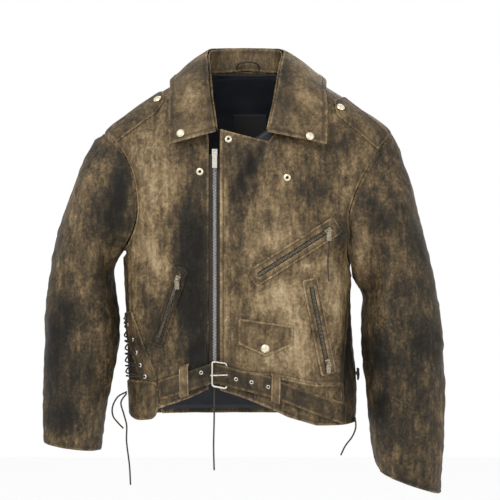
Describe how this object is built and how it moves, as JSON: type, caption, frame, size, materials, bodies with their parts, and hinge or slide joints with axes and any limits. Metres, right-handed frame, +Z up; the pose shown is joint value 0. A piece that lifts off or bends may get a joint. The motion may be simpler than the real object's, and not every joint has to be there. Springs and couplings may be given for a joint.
{
  "type": "leather riding jacket",
  "caption": "Waist-length leather riding jacket with an off-centre front zip, folded collar, shoulder straps, slanted zip pockets, laced sides and a buckled belt.",
  "frame": {"origin": "middle of the neck opening at the height of the back neck seam, where a hanger's hook rises", "axes": "+Z up along the body, +X towards the wearer's left, the front faces -Y"},
  "size_m": [0.6957, 0.2359, 0.7821],
  "materials": {
    "leather": "distressed brown, waxed, mottled",
    "side_leather": "distressed dark brown",
    "lining": "black satin",
    "zip_tape": "dark woven tape with a row of metal teeth",
    "nickel": "worn nickel plate",
    "snap_metal": "pale brushed nickel",
    "lace": "dark rounded leather thong"
  },
  "bodies": {
    "torso": {"right_front_panel": "leather", "left_front_panel": "leather", "right_hem_band": "leather", "left_hem_band": "leather", "back_yoke": "leather", "back_panel": "leather", "collar_stand": "leather", "collar_fall": "leather", "right_hem_tab": "leather", "right_lacing_strip": "leather", "belt_tip_strap": "leather", "belt_buckle_strap": "leather", "right_belt_loop": "leather", "left_belt_loop": "leather", "chest_pocket_welt": "leather", "left_hand_pocket_welt": "leather", "right_hand_pocket_welt": "leather", "hang_loop": "leather", "right_side_panel": "side_leather", "left_side_panel": "side_leather", "body_lining": "lining", "chest_pocket_zip": "zip_tape", "left_hand_pocket_zip": "zip_tape", "right_hand_pocket_zip": "zip_tape", "main_zip_right_tape": "zip_tape", "main_zip_left_tape": "zip_tape", "right_chest_stud": "snap_metal", "left_chest_stud": "snap_metal", "lapel_snap_socket": "snap_metal", "right_lace": "lace", "right_lace_long_end": "lace", "right_lace_short_end": "lace", "left_lace_end": "lace", "centre_thong": "lace"},
    "right_collar_wing": {"right_collar_wing": "leather", "right_collar_snap": "snap_metal"},
    "left_collar_wing": {"left_collar_wing": "leather", "left_collar_snap": "snap_metal"},
    "right_epaulette": {"right_epaulette": "leather", "right_epaulette_snap": "snap_metal"},
    "left_epaulette": {"left_epaulette": "leather", "left_epaulette_snap": "snap_metal"},
    "coin_flap": {"coin_pocket_flap": "leather", "coin_flap_snap": "snap_metal"},
    "buckle_frame": {"buckle_frame": "nickel"},
    "buckle_prong": {"buckle_prong": "nickel"},
    "main_zip_slider": {"main_zip_slider": "nickel"},
    "main_zip_pull": {"main_zip_pull": "nickel"},
    "right_sleeve": {"right_sleeve": "leather", "right_cuff_zip": "zip_tape"},
    "left_sleeve": {"left_sleeve": "leather"},
    "chest_pocket_zip_slider": {"chest_pocket_zip_slider": "nickel"},
    "chest_pocket_zip_pull": {"chest_pocket_zip_pull": "nickel", "chest_pull_thong": "lace"},
    "left_hand_pocket_zip_slider": {"left_hand_pocket_zip_slider": "nickel"},
    "left_hand_pocket_zip_pull": {"left_hand_pocket_zip_pull": "nickel"},
    "right_hand_pocket_zip_slider": {"right_hand_pocket_zip_slider": "nickel"},
    "right_hand_pocket_zip_pull": {"right_hand_pocket_zip_pull": "nickel"},
    "right_cuff_zip_slider": {"right_cuff_zip_slider": "nickel"},
    "right_cuff_zip_pull": {"right_cuff_zip_pull": "nickel"}
  },
  "joints": [
    {"name": "right_shoulder", "type": "hinge", "parent": "torso", "child": "right_sleeve", "pos_m": [-0.252, 0, -0.112], "axis": [0, 1, 0], "range_deg": [0, 60]},
    {"name": "left_shoulder", "type": "hinge", "parent": "torso", "child": "left_sleeve", "pos_m": [0.252, 0, -0.112], "axis": [0, -1, 0], "range_deg": [0, 60]},
    {"name": "main_zip_slide", "type": "slide", "parent": "torso", "child": "main_zip_slider", "axis": [0, 0, -1], "range_m": [0, 0.3]},
    {"name": "main_pull_hinge", "type": "hinge", "parent": "main_zip_slider", "child": "main_zip_pull", "pos_m": [-0.056, -0.1114, -0.154], "axis": [-1, 0, 0], "range_deg": [0, 150]},
    {"name": "chest_pocket_zip_slide", "type": "slide", "parent": "torso", "child": "chest_pocket_zip_slider", "axis": [-0.8396, -0.1159, -0.5308], "range_m": [0, 0.125]},
    {"name": "chest_pocket_pull_hinge", "type": "hinge", "parent": "chest_pocket_zip_slider", "child": "chest_pocket_zip_pull", "pos_m": [0.13643, -0.10533, -0.28546], "axis": [-0.9917, -0.1289, 0], "range_deg": [0, 150]},
    {"name": "left_hand_zip_slide", "type": "slide", "parent": "torso", "child": "left_hand_pocket_zip_slider", "axis": [-0.1991, -0.0493, 0.9787], "range_m": [0, 0.118]},
    {"name": "left_hand_pull_hinge", "type": "hinge", "parent": "left_hand_pocket_zip_slider", "child": "left_hand_pocket_zip_pull", "pos_m": [0.13611, -0.10024, -0.50866], "axis": [-0.9448, -0.3277, 0], "range_deg": [0, 150]},
    {"name": "right_hand_zip_slide", "type": "slide", "parent": "torso", "child": "right_hand_pocket_zip_slider", "axis": [-0.3244, 0.0844, -0.9421], "range_m": [0, 0.094]},
    {"name": "right_hand_pull_hinge", "type": "hinge", "parent": "right_hand_pocket_zip_slider", "child": "right_hand_pocket_zip_pull", "pos_m": [-0.11925, -0.11145, -0.36723], "axis": [-0.9718, 0.2356, 0], "range_deg": [0, 150]},
    {"name": "right_cuff_zip_slide", "type": "slide", "parent": "right_sleeve", "child": "right_cuff_zip_slider", "axis": [0.0345, 0.1505, 0.988], "range_m": [0, 0.095]},
    {"name": "right_cuff_pull_hinge", "type": "hinge", "parent": "right_cuff_zip_slider", "child": "right_cuff_zip_pull", "pos_m": [-0.31157, 0.02777, -0.64264], "axis": [0.9775, 0.2108, 0], "range_deg": [0, 150]},
    {"name": "buckle_hinge", "type": "hinge", "parent": "torso", "child": "buckle_frame", "pos_m": [-0.036, -0.10942, -0.528], "axis": [0, 0, 1], "range_deg": [0, 30]},
    {"name": "prong_hinge", "type": "hinge", "parent": "buckle_frame", "child": "buckle_prong", "pos_m": [-0.036, -0.10942, -0.528], "axis": [0, 0, 1], "range_deg": [0, 40]},
    {"name": "right_collar_wing_hinge", "type": "hinge", "parent": "torso", "child": "right_collar_wing", "pos_m": [-0.07, 0.004, 0.026], "axis": [-0.0833, 0.6499, 0.7554], "range_deg": [0, 50]},
    {"name": "right_epaulette_hinge", "type": "hinge", "parent": "torso", "child": "right_epaulette", "pos_m": [-0.22559, -0.05778, -0.13424], "axis": [0.5442, -0.6992, -0.4636], "range_deg": [0, 26]},
    {"name": "left_collar_wing_hinge", "type": "hinge", "parent": "torso", "child": "left_collar_wing", "pos_m": [0.06, 0.004, 0.03], "axis": [-0.124, -0.631, -0.7658], "range_deg": [0, 50]},
    {"name": "left_epaulette_hinge", "type": "hinge", "parent": "torso", "child": "left_epaulette", "pos_m": [0.2219, -0.05789, -0.14763], "axis": [0.5182, 0.5846, 0.6243], "range_deg": [0, 26]},
    {"name": "coin_flap_hinge", "type": "hinge", "parent": "torso", "child": "coin_flap", "pos_m": [-0.013, -0.10947, -0.435], "axis": [-0.9897, -0.0434, 0.1365], "range_deg": [0, 140]}
  ]
}
